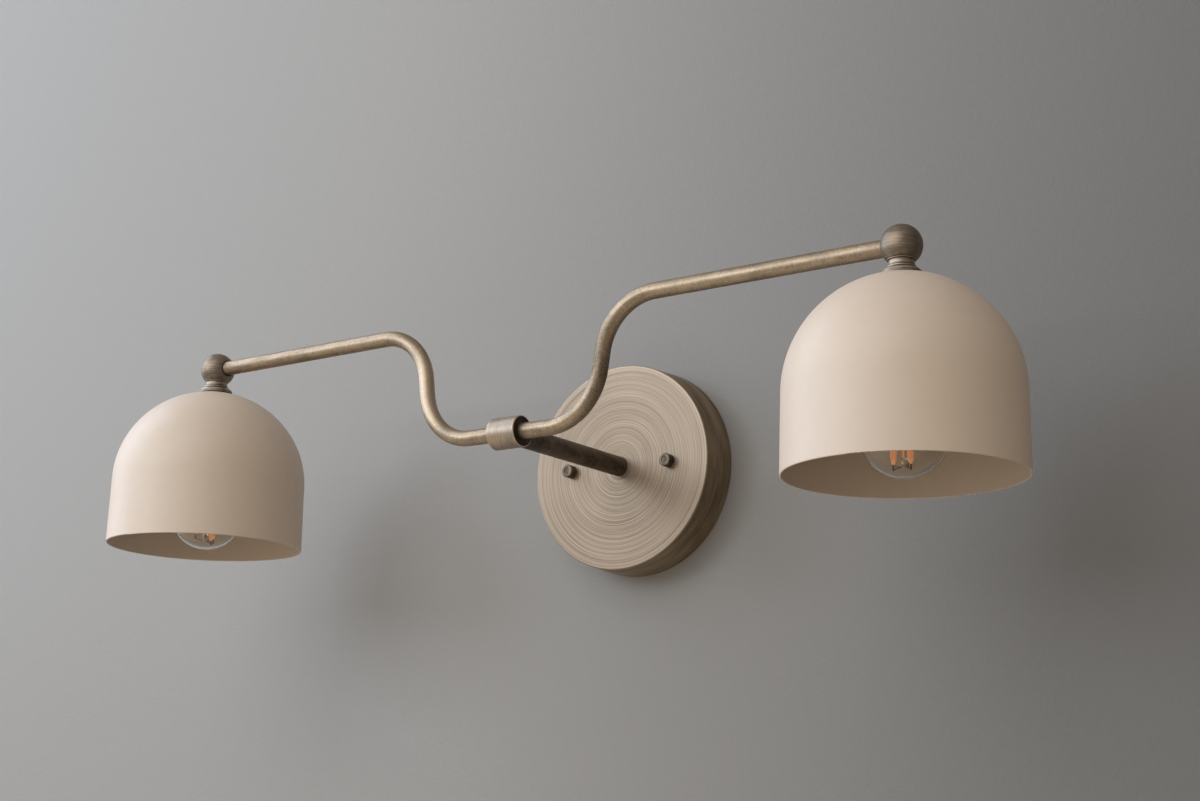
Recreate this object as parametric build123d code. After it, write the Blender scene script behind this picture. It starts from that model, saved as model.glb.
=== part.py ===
from build123d import *
import os
from math import acos, cos, radians, sin, sqrt

# Double arm wall sconce, millimetres.
# X runs along the wall, Y goes into the wall and Z is up.
# The origin is on the wall, at the centre of the canopy's open back.

# -- Canopy, the round cover on the wall --
CANOPY_BACK_R = 67.9
CANOPY_FRONT_R = 66.7
CANOPY_DEPTH = 26.6
CANOPY_WALL = 1.2
CANOPY_EDGE_R = 1.8

# -- Mounting plate behind the canopy --
PLATE_R = 50.0
PLATE_SHEET = 1.6
PLATE_RIM_HEIGHT = 5.0
PLATE_BEND_R = 2.2
WIRE_HOLE_R = 11.0
BOX_SCREW_SPACING_SMALL = 69.85
BOX_SCREW_SPACING_LARGE = 88.9
BOX_SLOT_WIDTH = 4.8
GROUND_SCREW_BELOW = 21.5

# -- Studs and nuts that hold the canopy to the plate --
STUD_SPACING = 76.2
STUD_R = 2.08
STUD_HOLE_R = 2.7
LOCK_NUT_ACROSS = 8.7
LOCK_NUT_HEIGHT = 3.3
CAP_NUT_R = 4.2
CAP_NUT_HEIGHT = 5.6
CAP_NUT_EDGE_R = 0.9
CAP_NUT_CAP = 1.4
CAP_NUT_DISH_R = 2.4
CAP_NUT_DISH_DEPTH = 0.5
GROUND_HEAD_R = 4.4
GROUND_HEAD_HEIGHT = 2.4
GROUND_SLOT_WIDTH = 1.1
GROUND_SLOT_DEPTH = 1.2

# -- Threaded lamp tube, with its nuts and washers --
NIPPLE_R = 4.83
NIPPLE_BORE_R = 3.6
NIPPLE_NUT_ACROSS = 14.3
NIPPLE_NUT_HEIGHT = 3.2
WASHER_R = 8.5
WASHER_SHEET = 0.8
POST_NIPPLE_IN_POST = 12.0
POST_NIPPLE_END = 2.5

# -- Post and hub --
REACH = 140.5
POST_R = 6.35
POST_WALL = 1.45
HUB_R = 9.53
HUB_LENGTH = 20.4
HUB_CHAMFER = 0.5
HUB_WIREWAY_R = 3.4
POST_WIREWAY_R = 3.0
HUB_ARM_DEPTH = 5.6
POST_TO_HUB_AXIS = 5.4

# -- Arms --
ARM_R = 4.7625
ARM_WALL = 1.0
ARM_RISE = 71.5
ARM_BEND_START = 30.0
ARM_BEND_R = 35.5
ARM_LEAN = 8.0
HEAD_SPACING = 511.0

# -- Ball joint at the end of each arm; heights are below the ball's centre --
BALL_R = 11.25
BALL_FLAT = 7.3
BEAD_R = 7.75
BEAD_BOTTOM = 8.5
NECK_R = 7.1
NECK_WAIST_R = 6.9
NECK_BOTTOM = 11.4
RING_R = 7.8
RING_BOTTOM = 13.1
BELL_TOP_R = 7.5
BELL_MID_R = 9.15
BELL_MID = 14.7
BELL_R = 10.2
BELL_BOTTOM = 16.4
BELL_GROOVE = 0.4
FOOT_R = 10.6
FOOT_LIP = 1.0
FOOT_BOTTOM = 17.7
ARM_HOLE_R = 5.35
ARM_HOLE_DEPTH = 2.2
ARM_FIT = 0.04
CAVITY_R = 7.1
CAVITY_NEAR = 4.6
CAVITY_FAR = 5.4
SWIVEL_NUT_ACROSS = 11.4
SWIVEL_NUT_LENGTH = 2.6
SWIVEL_WASHER_R = 6.3
SWIVEL_WASHER_SHEET = 0.5
ARM_PAST_NUT = 0.4
NIPPLE_TOP = 8.2

# -- Shade --
SHADE_R = 62.5
SHADE_RIM_R = 63.0
SHADE_HEIGHT = 103.7
SHADE_SHEET = 1.0
SHADE_FLAT_R = 12.4

# -- Lamp socket --
SOCKET_HUB_R = 7.6
SOCKET_HUB_HEIGHT = 5.0
SOCKET_CAP_HEIGHT = 15.4
SOCKET_CAP_SHEET = 0.8
SOCKET_R = 17.5
SOCKET_BODY_LENGTH = 35.0
SOCKET_FLOOR = 3.5
SCREW_SHELL_SHEET = 0.5
SCREW_SHELL_LENGTH = 23.0
TONGUE_LENGTH = 16.0
TONGUE_WIDTH = 6.0
TONGUE_SHEET = 0.5
TONGUE_DROP = 2.5
TERMINAL_R = 2.6
TERMINAL_HEIGHT = 3.0
TERMINAL_OFFSET = 9.0

# -- Bulb --
GLOBE_R = 24.0
GLASS = 0.9
NECK_STRAIGHT = 0.5
BULB_CAP_R = 13.0
BULB_CAP_LENGTH = 20.0
BULB_CAP_SHEET = 0.4
BULB_CONE_R = 5.2
BULB_CONE_HEIGHT = 4.0
CONTACT_R = 4.6
CONTACT_HEIGHT = 1.4
NECK_CEMENT = 0.6
NECK_IN_CAP = 5.0
NECK_BLEND_R = 15.5
STEM_R = 3.0
STEM_ROD_R = 1.3
STEM_FLARE_LENGTH = 16.0
STEM_TIP_R = 2.1
STEM_TIP_ABOVE_BOTTOM = 6.6
FILAMENT_COUNT = 4
FILAMENT_R = 1.45
FILAMENT_LENGTH = 30.0
FILAMENT_TOP_RING_R = 4.9
FILAMENT_LOW_RING_R = 7.2
FILAMENT_ABOVE_BOTTOM = 9.6
FILAMENT_TURN = 42.0
LEAD_R = 0.3
LEAD_DEPTH = 0.3

# -- Clearances --
THREAD_GAP = 0.05
GLASS_GAP = 0.2
BULB_THREAD_GAP = 0.25
SWIVEL_GAP = 0.1
LEAD_GAP = 0.08

# Places worked out from the sizes above.
HEAD_X = HEAD_SPACING / 2
POST_BORE_R = POST_R - POST_WALL
CANOPY_FACE_INNER = CANOPY_DEPTH - CANOPY_WALL
POST_END = REACH - POST_TO_HUB_AXIS
SHADE_TOP = -FOOT_BOTTOM
SHADE_RIM = SHADE_TOP - SHADE_HEIGHT
DOME_CENTRE = SHADE_TOP - sqrt(SHADE_R**2 - SHADE_FLAT_R**2)
WASHER_TOP = SHADE_TOP - SHADE_SHEET
SHADE_NUT_TOP = WASHER_TOP - WASHER_SHEET
SOCKET_TOP = SHADE_NUT_TOP - NIPPLE_NUT_HEIGHT
SOCKET_SHOULDER = SOCKET_TOP - SOCKET_HUB_HEIGHT
SOCKET_BODY_TOP = SOCKET_TOP - SOCKET_CAP_HEIGHT
SOCKET_MOUTH = SOCKET_BODY_TOP - SOCKET_BODY_LENGTH
SOCKET_CAVITY_TOP = SOCKET_BODY_TOP - SOCKET_FLOOR
CONTACT_TOP = SOCKET_CAVITY_TOP - TONGUE_DROP - TONGUE_SHEET
CONE_TOP = CONTACT_TOP - CONTACT_HEIGHT
BULB_CAP_TOP = CONE_TOP - BULB_CONE_HEIGHT
BULB_CAP_BOTTOM = BULB_CAP_TOP - BULB_CAP_LENGTH
NECK_TOP = BULB_CAP_BOTTOM + NECK_IN_CAP
NECK_BOTTOM_END = BULB_CAP_BOTTOM - NECK_STRAIGHT
BULB_NECK_R = BULB_CAP_R - BULB_CAP_SHEET - NECK_CEMENT
NECK_CLIMB = acos((BULB_NECK_R + NECK_BLEND_R) / (GLOBE_R + NECK_BLEND_R))
GLOBE_CENTRE = NECK_BOTTOM_END - (GLOBE_R + NECK_BLEND_R) * sin(NECK_CLIMB)
BULB_BOTTOM = GLOBE_CENTRE - GLOBE_R
STEM_FLARE_R = BULB_NECK_R - GLASS - GLASS_GAP
SCREW_SHELL_R = BULB_CAP_R + BULB_THREAD_GAP + SCREW_SHELL_SHEET
SOCKET_CAVITY_R = SCREW_SHELL_R + THREAD_GAP
NUT_NEAR = -CAVITY_NEAR + SWIVEL_GAP + SWIVEL_WASHER_SHEET
NUT_FAR = NUT_NEAR + SWIVEL_NUT_LENGTH
ARM_END = NUT_FAR + ARM_PAST_NUT

# A piece drawn upright over the XY plane stands out from the wall after this turn.
FROM_WALL = Rot(90, 0, 0)
# A piece drawn upright lies along the arms after this turn.
ALONG_ARM = Rot(0, 90, 0)

os.makedirs("parts", exist_ok=True)


def save(piece, node):
    export_step(piece, f"parts/{node}.step")


def disc(radius, low, high):
    return Pos(0, 0, (low + high) / 2) * Cylinder(radius, high - low)


def ring(outer_r, inner_r, low, high):
    return disc(outer_r, low, high) - disc(inner_r, low, high)


def hex_nut(across, bore_r, low, high):
    blank = extrude(RegularPolygon(across / 2, 6, major_radius=False), high - low)
    return Pos(0, 0, low) * blank - disc(bore_r, low, high)


def turned(*edges):
    """A solid turned about Z from the closed outline that the edges make in the XZ plane."""
    return revolve(make_face(edges), Axis.Z)


def outline(*points):
    """Straight edges through points given as (radius, height)."""
    return Polyline(*[(radius, 0, height) for radius, height in points])


def arc(start, middle, end):
    return ThreePointArc(*[(radius, 0, height) for radius, height in (start, middle, end)])


# -- Pieces on the wall: upright means away from the wall until FROM_WALL turns them --


def mounting_plate():
    half_slot = (BOX_SCREW_SPACING_LARGE - BOX_SCREW_SPACING_SMALL) / 4 + BOX_SLOT_WIDTH / 2
    slot_centre = (BOX_SCREW_SPACING_LARGE + BOX_SCREW_SPACING_SMALL) / 4
    pan = ring(PLATE_R, WIRE_HOLE_R, 0, PLATE_RIM_HEIGHT)
    pan = fillet(pan.faces().sort_by(Axis.Z)[0].edges().sort_by(SortBy.LENGTH)[-1], PLATE_BEND_R)
    pan -= disc(PLATE_R - PLATE_SHEET, PLATE_SHEET, PLATE_RIM_HEIGHT)
    slot = extrude(Rot(0, 0, 90) * SlotOverall(2 * half_slot, BOX_SLOT_WIDTH), PLATE_SHEET)
    stud_hole = disc(STUD_R + THREAD_GAP, 0, PLATE_SHEET)
    for side in (-1, 1):
        pan -= Pos(0, side * slot_centre, 0) * slot
        pan -= Pos(side * STUD_SPACING / 2, 0, 0) * stud_hole
    return pan - Pos(0, -GROUND_SCREW_BELOW, 0) * stud_hole


def canopy():
    shell = Pos(0, 0, CANOPY_DEPTH / 2) * Cone(CANOPY_BACK_R, CANOPY_FRONT_R, CANOPY_DEPTH)
    shell = fillet(shell.faces().sort_by(Axis.Z)[-1].edges(), CANOPY_EDGE_R)
    hollow = Cone(CANOPY_BACK_R - CANOPY_WALL, CANOPY_FRONT_R - CANOPY_WALL, CANOPY_FACE_INNER)
    hollow = fillet(hollow.faces().sort_by(Axis.Z)[-1].edges(), CANOPY_EDGE_R - CANOPY_WALL)
    shell -= Pos(0, 0, CANOPY_FACE_INNER / 2) * hollow
    shell -= disc(NIPPLE_R + THREAD_GAP, 0, CANOPY_DEPTH)
    for side in (-1, 1):
        shell -= Pos(side * STUD_SPACING / 2, 0, 0) * disc(STUD_HOLE_R, 0, CANOPY_DEPTH)
    return shell


def both_studs(piece):
    return Compound([Pos(side * STUD_SPACING / 2, 0, 0) * piece for side in (-1, 1)])


def canopy_studs():
    stud_end = CANOPY_DEPTH + CAP_NUT_HEIGHT - CAP_NUT_CAP
    return both_studs(disc(STUD_R, 0, stud_end))


def stud_lock_nuts():
    return both_studs(
        hex_nut(LOCK_NUT_ACROSS, STUD_R + THREAD_GAP, PLATE_SHEET, PLATE_SHEET + LOCK_NUT_HEIGHT)
    )


def cap_nuts():
    top = CANOPY_DEPTH + CAP_NUT_HEIGHT
    nut = disc(CAP_NUT_R, CANOPY_DEPTH, top)
    nut = fillet(nut.faces().sort_by(Axis.Z)[-1].edges(), CAP_NUT_EDGE_R)
    nut -= disc(CAP_NUT_DISH_R, top - CAP_NUT_DISH_DEPTH, top)
    nut -= disc(STUD_R + THREAD_GAP, CANOPY_DEPTH, top - CAP_NUT_CAP)
    return both_studs(nut)


def ground_screw():
    head_top = PLATE_SHEET + GROUND_HEAD_HEIGHT
    screw = disc(STUD_R, 0, PLATE_SHEET) + disc(GROUND_HEAD_R, PLATE_SHEET, head_top)
    slot = Pos(0, 0, head_top) * Box(2 * GROUND_HEAD_R, GROUND_SLOT_WIDTH, 2 * GROUND_SLOT_DEPTH)
    return Pos(0, -GROUND_SCREW_BELOW, 0) * (screw - slot)


def post_nipple():
    low = CANOPY_FACE_INNER - WASHER_SHEET - NIPPLE_NUT_HEIGHT - POST_NIPPLE_END
    return ring(NIPPLE_R, NIPPLE_BORE_R, low, CANOPY_DEPTH + POST_NIPPLE_IN_POST)


def post_washer():
    return ring(WASHER_R, NIPPLE_R + THREAD_GAP, CANOPY_FACE_INNER - WASHER_SHEET, CANOPY_FACE_INNER)


def post_lock_nut():
    high = CANOPY_FACE_INNER - WASHER_SHEET
    return hex_nut(NIPPLE_NUT_ACROSS, NIPPLE_R + THREAD_GAP, high - NIPPLE_NUT_HEIGHT, high)


def post():
    return ring(POST_R, POST_BORE_R, CANOPY_DEPTH, POST_END)


WALL_PIECES = {
    "mounting_plate": mounting_plate,
    "canopy": canopy,
    "canopy_studs": canopy_studs,
    "stud_lock_nuts": stud_lock_nuts,
    "cap_nuts": cap_nuts,
    "ground_screw": ground_screw,
    "post_nipple": post_nipple,
    "post_washer": post_washer,
    "post_lock_nut": post_lock_nut,
    "post": post,
}


# -- Hub and arms: the hub's centre is the end of the reach --


def hub():
    block = ALONG_ARM * Cylinder(HUB_R, HUB_LENGTH)
    ends = block.faces().sort_by(Axis.X)
    block = chamfer(ends[0].edges() + ends[-1].edges(), HUB_CHAMFER)
    arm_bore = ALONG_ARM * Cylinder(ARM_R + THREAD_GAP, HUB_ARM_DEPTH)
    for side in (-1, 1):
        block -= Pos(side * (HUB_LENGTH - HUB_ARM_DEPTH) / 2, 0, 0) * arm_bore
    block -= ALONG_ARM * Cylinder(HUB_WIREWAY_R, HUB_LENGTH)
    post_bore = Rot(-90, 0, 0) * disc(POST_R + THREAD_GAP, POST_TO_HUB_AXIS, HUB_R)
    post_wireway = Rot(-90, 0, 0) * disc(POST_WIREWAY_R, 0, HUB_R)
    return Pos(0, -REACH, 0) * (block - post_bore - post_wireway)


def right_arm():
    turn = 90 - ARM_LEAN
    leg = (ARM_RISE - 2 * ARM_BEND_R * (1 - cos(radians(turn)))) / sin(radians(turn))
    start = HUB_LENGTH / 2 - HUB_ARM_DEPTH
    inner_run = Line((start, 0), (ARM_BEND_START, 0))
    lower_bend = JernArc(inner_run @ 1, (1, 0), ARM_BEND_R, turn)
    leaning_leg = Line(lower_bend @ 1, lower_bend @ 1 + lower_bend % 1 * leg)
    upper_bend = JernArc(leaning_leg @ 1, leaning_leg % 1, ARM_BEND_R, -turn)
    outer_run = Line(upper_bend @ 1, (HEAD_X + ARM_END, (upper_bend @ 1).Y))
    centre_line = Wire([inner_run, lower_bend, leaning_leg, upper_bend, outer_run])
    section = Plane(origin=(start, 0, 0), z_dir=(1, 0, 0)) * (Circle(ARM_R) - Circle(ARM_R - ARM_WALL))
    return Pos(0, -REACH, 0) * FROM_WALL * sweep(section, path=centre_line)


# -- Right head: its origin is the ball's centre, and the arm comes in from -X --


def ball_joint():
    ball_chord = sqrt(BALL_R**2 - BALL_FLAT**2)
    bead_middle = (BALL_FLAT + BEAD_BOTTOM) / 2
    waist = (BEAD_BOTTOM + NECK_BOTTOM) / 2
    ring_middle = (NECK_BOTTOM + RING_BOTTOM) / 2
    groove_r = BELL_R - BELL_GROOVE
    lip_top = FOOT_LIP - FOOT_BOTTOM
    body = turned(
        arc((0, BALL_R), (BALL_R, 0), (ball_chord, -BALL_FLAT)),
        outline((ball_chord, -BALL_FLAT), (NECK_R, -BALL_FLAT)),
        arc((NECK_R, -BALL_FLAT), (BEAD_R, -bead_middle), (NECK_R, -BEAD_BOTTOM)),
        arc((NECK_R, -BEAD_BOTTOM), (NECK_WAIST_R, -waist), (NECK_R, -NECK_BOTTOM)),
        arc((NECK_R, -NECK_BOTTOM), (RING_R, -ring_middle), (NECK_R, -RING_BOTTOM)),
        outline((NECK_R, -RING_BOTTOM), (BELL_TOP_R, -RING_BOTTOM)),
        arc((BELL_TOP_R, -RING_BOTTOM), (BELL_MID_R, -BELL_MID), (BELL_R, -BELL_BOTTOM)),
        outline(
            (BELL_R, -BELL_BOTTOM),
            (groove_r, -BELL_BOTTOM),
            (groove_r, lip_top),
            (FOOT_R, lip_top),
            (FOOT_R, -FOOT_BOTTOM),
            (0, -FOOT_BOTTOM),
            (0, BALL_R),
        ),
    )
    hole_mouth = sqrt(BALL_R**2 - ARM_HOLE_R**2)
    outside = -BALL_R - ARM_HOLE_DEPTH
    body -= ALONG_ARM * disc(ARM_HOLE_R, outside, ARM_HOLE_DEPTH - hole_mouth)
    body -= ALONG_ARM * disc(ARM_R + ARM_FIT, outside, 0)
    body -= ALONG_ARM * disc(CAVITY_R, -CAVITY_NEAR, CAVITY_FAR)
    return body - disc(NIPPLE_R + THREAD_GAP, -FOOT_BOTTOM, 0)


def swivel_washer():
    low = -CAVITY_NEAR + SWIVEL_GAP
    return ALONG_ARM * ring(SWIVEL_WASHER_R, ARM_R + THREAD_GAP, low, low + SWIVEL_WASHER_SHEET)


def swivel_nut():
    return ALONG_ARM * hex_nut(SWIVEL_NUT_ACROSS, ARM_R + THREAD_GAP, NUT_NEAR, NUT_FAR)


def shade_nipple():
    return ring(NIPPLE_R, NIPPLE_BORE_R, SOCKET_SHOULDER, -NIPPLE_TOP)


def shade():
    outer_foot = (SHADE_RIM_R, SHADE_RIM)
    outer_shoulder = (SHADE_R, DOME_CENTRE)
    outer_flat = (SHADE_FLAT_R, SHADE_TOP)
    inner_r = SHADE_R - SHADE_SHEET
    inner_top = SHADE_TOP - SHADE_SHEET
    inner_flat_r = sqrt(inner_r**2 - (inner_top - DOME_CENTRE) ** 2)
    half = radians(45)
    return turned(
        outline((NIPPLE_R + THREAD_GAP, SHADE_TOP), outer_flat),
        arc(outer_flat, (SHADE_R * cos(half), DOME_CENTRE + SHADE_R * sin(half)), outer_shoulder),
        outline(outer_shoulder, outer_foot),
        arc(
            outer_foot,
            (SHADE_RIM_R - SHADE_SHEET / 2, SHADE_RIM - SHADE_SHEET / 2),
            (SHADE_RIM_R - SHADE_SHEET, SHADE_RIM),
        ),
        outline((SHADE_RIM_R - SHADE_SHEET, SHADE_RIM), (inner_r, DOME_CENTRE)),
        arc(
            (inner_r, DOME_CENTRE),
            (inner_r * cos(half), DOME_CENTRE + inner_r * sin(half)),
            (inner_flat_r, inner_top),
        ),
        outline(
            (inner_flat_r, inner_top),
            (NIPPLE_R + THREAD_GAP, inner_top),
            (NIPPLE_R + THREAD_GAP, SHADE_TOP),
        ),
    )


def shade_washer():
    return ring(WASHER_R, NIPPLE_R + THREAD_GAP, SHADE_NUT_TOP, WASHER_TOP)


def shade_nut():
    return hex_nut(NIPPLE_NUT_ACROSS, NIPPLE_R + THREAD_GAP, SOCKET_TOP, SHADE_NUT_TOP)


def socket_cap():
    dome_rise = SOCKET_SHOULDER - SOCKET_BODY_TOP
    bell = turned(
        outline(
            (0, SOCKET_BODY_TOP),
            (0, SOCKET_TOP),
            (SOCKET_HUB_R, SOCKET_TOP),
            (SOCKET_HUB_R, SOCKET_SHOULDER),
        ),
        arc(
            (SOCKET_HUB_R, SOCKET_SHOULDER),
            (SOCKET_R - 0.2 * (SOCKET_R - SOCKET_HUB_R), SOCKET_SHOULDER - 0.4 * dome_rise),
            (SOCKET_R, SOCKET_BODY_TOP),
        ),
        outline((SOCKET_R, SOCKET_BODY_TOP), (0, SOCKET_BODY_TOP)),
    )
    bell -= disc(NIPPLE_R + THREAD_GAP, SOCKET_SHOULDER, SOCKET_TOP)
    inner_rise = dome_rise - SOCKET_CAP_SHEET
    inner_top = SOCKET_BODY_TOP + inner_rise
    inner_r = SOCKET_R - SOCKET_CAP_SHEET
    hollow = turned(
        outline((0, SOCKET_BODY_TOP), (0, inner_top), (NIPPLE_R, inner_top)),
        arc(
            (NIPPLE_R, inner_top),
            (inner_r - 0.22 * (inner_r - NIPPLE_R), SOCKET_BODY_TOP + 0.6 * inner_rise),
            (inner_r, SOCKET_BODY_TOP),
        ),
        outline((inner_r, SOCKET_BODY_TOP), (0, SOCKET_BODY_TOP)),
    )
    return bell - hollow - disc(NIPPLE_BORE_R, SOCKET_BODY_TOP, SOCKET_TOP)


def socket_body():
    cup = disc(SOCKET_R, SOCKET_MOUTH, SOCKET_BODY_TOP)
    cup = chamfer(cup.faces().sort_by(Axis.Z)[0].edges(), SOCKET_CAP_SHEET)
    return cup - disc(SOCKET_CAVITY_R, SOCKET_MOUTH, SOCKET_CAVITY_TOP)


def socket_terminals():
    low = SOCKET_BODY_TOP
    screw = disc(TERMINAL_R, low, low + TERMINAL_HEIGHT)
    return Compound([Pos(side * TERMINAL_OFFSET, 0, 0) * screw for side in (-1, 1)])


def screw_shell():
    low = SOCKET_CAVITY_TOP - SCREW_SHELL_LENGTH
    return ring(SCREW_SHELL_R, SCREW_SHELL_R - SCREW_SHELL_SHEET, low, SOCKET_CAVITY_TOP)


def contact_tongue():
    """A brass leaf on the socket's floor, bent down so that its free end meets the bulb's contact."""
    floor = SOCKET_CAVITY_TOP
    low = floor - TONGUE_DROP
    half = TONGUE_LENGTH / 2
    upper_side = [(half, floor), (half / 2, floor), (-half / 4, low), (-half, low)]
    under_side = [(along, height - TONGUE_SHEET) for along, height in reversed(upper_side)]
    side_view = outline(*upper_side, *under_side, upper_side[0])
    return extrude(make_face(side_view), TONGUE_WIDTH / 2, dir=(0, 1, 0), both=True)


HEAD_PIECES = {
    "swivel_washer": swivel_washer,
    "swivel_nut": swivel_nut,
    "ball_joint": ball_joint,
    "shade_nipple": shade_nipple,
    "shade": shade,
    "shade_washer": shade_washer,
    "shade_nut": shade_nut,
    "socket_cap": socket_cap,
    "socket_body": socket_body,
    "socket_terminals": socket_terminals,
    "screw_shell": screw_shell,
    "contact_tongue": contact_tongue,
}


# -- Bulb, in the same place as its head --


def glass_side(inset):
    """The glass from the bottom up: a globe that a hollow curve blends into a straight neck."""
    globe_r = GLOBE_R - inset
    neck_r = BULB_NECK_R - inset
    blend_r = NECK_BLEND_R + inset
    joint = (globe_r * cos(NECK_CLIMB), GLOBE_CENTRE + globe_r * sin(NECK_CLIMB))
    half = NECK_CLIMB / 2
    hollow = (neck_r + blend_r * (1 - cos(half)), NECK_BOTTOM_END - blend_r * sin(half))
    return [
        arc((0, GLOBE_CENTRE - globe_r), (globe_r, GLOBE_CENTRE), joint),
        arc(joint, hollow, (neck_r, NECK_BOTTOM_END)),
        outline((neck_r, NECK_BOTTOM_END), (neck_r, NECK_TOP)),
    ]


def bulb_glass():
    top_edge = outline((BULB_NECK_R, NECK_TOP), (BULB_NECK_R - GLASS, NECK_TOP))
    bottom_edge = outline((0, BULB_BOTTOM), (0, BULB_BOTTOM + GLASS))
    return turned(*glass_side(0), *glass_side(GLASS), top_edge, bottom_edge)


def bulb_cap():
    cap = disc(BULB_CAP_R, BULB_CAP_BOTTOM, BULB_CAP_TOP)
    return cap - disc(BULB_CAP_R - BULB_CAP_SHEET, BULB_CAP_BOTTOM, BULB_CAP_TOP)


def bulb_insulator():
    return turned(
        outline(
            (0, BULB_CAP_TOP),
            (BULB_CAP_R, BULB_CAP_TOP),
            (BULB_CONE_R, CONE_TOP),
            (0, CONE_TOP),
            (0, BULB_CAP_TOP),
        )
    )


def bulb_contact():
    button = disc(CONTACT_R, CONE_TOP, CONTACT_TOP)
    return chamfer(button.faces().sort_by(Axis.Z)[-1].edges(), CONTACT_HEIGHT / 2)


def bulb_stem():
    flare_low = NECK_TOP - STEM_FLARE_LENGTH
    tip = BULB_BOTTOM + STEM_TIP_ABOVE_BOTTOM
    stem = turned(
        outline((0, NECK_TOP), (STEM_FLARE_R, NECK_TOP)),
        arc(
            (STEM_FLARE_R, NECK_TOP),
            (STEM_R + 0.25 * (STEM_FLARE_R - STEM_R), NECK_TOP - 0.25 * STEM_FLARE_LENGTH),
            (STEM_R, flare_low),
        ),
        outline(
            (STEM_R, flare_low),
            (STEM_ROD_R, flare_low - STEM_R),
            (STEM_ROD_R, tip),
            (0, tip),
            (0, NECK_TOP),
        ),
    )
    return stem + Pos(0, 0, tip + STEM_TIP_R) * Sphere(STEM_TIP_R)


def rod(start, end, radius):
    """A round rod between two points."""
    along = Vector(*end) - Vector(*start)
    return extrude(Plane(origin=start, z_dir=along) * Circle(radius), along.length)


def around_stem(ring_r, height):
    """Points of the ring of filament ends."""
    spots = [radians(FILAMENT_TURN + 360 * count / FILAMENT_COUNT) for count in range(FILAMENT_COUNT)]
    return [(ring_r * cos(spot), ring_r * sin(spot), height) for spot in spots]


def filament_ends():
    low = BULB_BOTTOM + FILAMENT_ABOVE_BOTTOM
    return zip(
        around_stem(FILAMENT_LOW_RING_R, low),
        around_stem(FILAMENT_TOP_RING_R, low + FILAMENT_LENGTH),
    )


def bulb_filaments():
    return Compound([rod(low, high, FILAMENT_R) for low, high in filament_ends()])


def bulb_leads():
    """Bare wires that run from both ends of each filament into the glass stem."""
    tip = BULB_BOTTOM + STEM_TIP_ABOVE_BOTTOM + STEM_TIP_R
    press = NECK_TOP - STEM_FLARE_LENGTH
    wires = []
    for low, high in filament_ends():
        below = (low[0], low[1], low[2] - LEAD_R - LEAD_GAP)
        above = (high[0], high[1], high[2] + LEAD_R + LEAD_GAP)
        at_tip = (low[0] * LEAD_DEPTH, low[1] * LEAD_DEPTH, tip)
        at_press = (high[0] * LEAD_DEPTH, high[1] * LEAD_DEPTH, press)
        wires += [rod(below, at_tip, LEAD_R), rod(above, at_press, LEAD_R)]
    return Compound(wires)


BULB_PIECES = {
    "bulb_glass": bulb_glass,
    "bulb_cap": bulb_cap,
    "bulb_insulator": bulb_insulator,
    "bulb_contact": bulb_contact,
    "bulb_stem": bulb_stem,
    "bulb_filaments": bulb_filaments,
    "bulb_leads": bulb_leads,
}


for node, make in WALL_PIECES.items():
    save(FROM_WALL * make(), node)

save(hub(), "hub")
arm = right_arm()
save(arm, "arm_right")
save(mirror(arm, Plane.YZ), "arm_left")

for node, make in (HEAD_PIECES | BULB_PIECES).items():
    piece = Pos(HEAD_X, -REACH, ARM_RISE) * make()
    save(piece, f"{node}_right")
    save(mirror(piece, Plane.YZ), f"{node}_left")
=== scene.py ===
import json
import random
from math import ceil, cos, pi, radians, sin

import bmesh
import bpy
from mathutils import Matrix, Vector


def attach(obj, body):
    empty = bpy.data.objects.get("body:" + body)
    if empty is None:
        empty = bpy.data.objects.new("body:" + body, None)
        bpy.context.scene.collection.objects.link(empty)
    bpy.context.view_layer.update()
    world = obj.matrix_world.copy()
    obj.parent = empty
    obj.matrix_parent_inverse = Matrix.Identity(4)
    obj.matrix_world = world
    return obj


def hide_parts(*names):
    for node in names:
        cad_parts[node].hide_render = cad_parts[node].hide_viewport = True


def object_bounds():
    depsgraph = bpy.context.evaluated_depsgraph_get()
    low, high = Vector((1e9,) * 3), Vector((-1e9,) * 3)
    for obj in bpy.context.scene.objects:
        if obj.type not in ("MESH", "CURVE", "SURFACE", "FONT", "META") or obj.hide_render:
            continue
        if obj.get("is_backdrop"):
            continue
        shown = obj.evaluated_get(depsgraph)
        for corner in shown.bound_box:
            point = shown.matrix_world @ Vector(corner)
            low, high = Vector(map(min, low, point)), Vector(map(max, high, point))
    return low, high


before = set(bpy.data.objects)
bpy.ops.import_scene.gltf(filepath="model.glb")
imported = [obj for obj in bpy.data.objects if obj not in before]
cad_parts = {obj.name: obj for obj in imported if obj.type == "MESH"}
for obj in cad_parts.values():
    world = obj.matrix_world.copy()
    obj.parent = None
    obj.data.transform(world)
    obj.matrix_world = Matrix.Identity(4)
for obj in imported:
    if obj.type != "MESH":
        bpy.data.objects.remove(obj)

CAD_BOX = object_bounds()

# Lengths are in metres; MM turns a length in millimetres into one.
MM = 0.001

# X runs to the right, -Y out of the wall and Z up, from the middle of the canopy's back.
SIDES = {"left": -1, "right": 1}
OUT_OF_WALL = Matrix.Rotation(pi / 2, 4, "X")
ABOUT_Z = {"cent": (0, 0, 0), "axis": (0, 0, 1)}
SAME_CORNER = 0.002 * MM
SHARP_EDGE = radians(35)

# -- Places and sizes of the sconce's parts, as in the CAD --
REACH = 140.5 * MM
HEAD_X = 255.5 * MM
HEAD_Z = 71.5 * MM
STUD_X = 38.1 * MM
HUB_R = 9.53 * MM
HUB_END = 10.2 * MM  # from the hub's middle to either end
CAP_NUT_FRONT = 31.5 * MM

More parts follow.
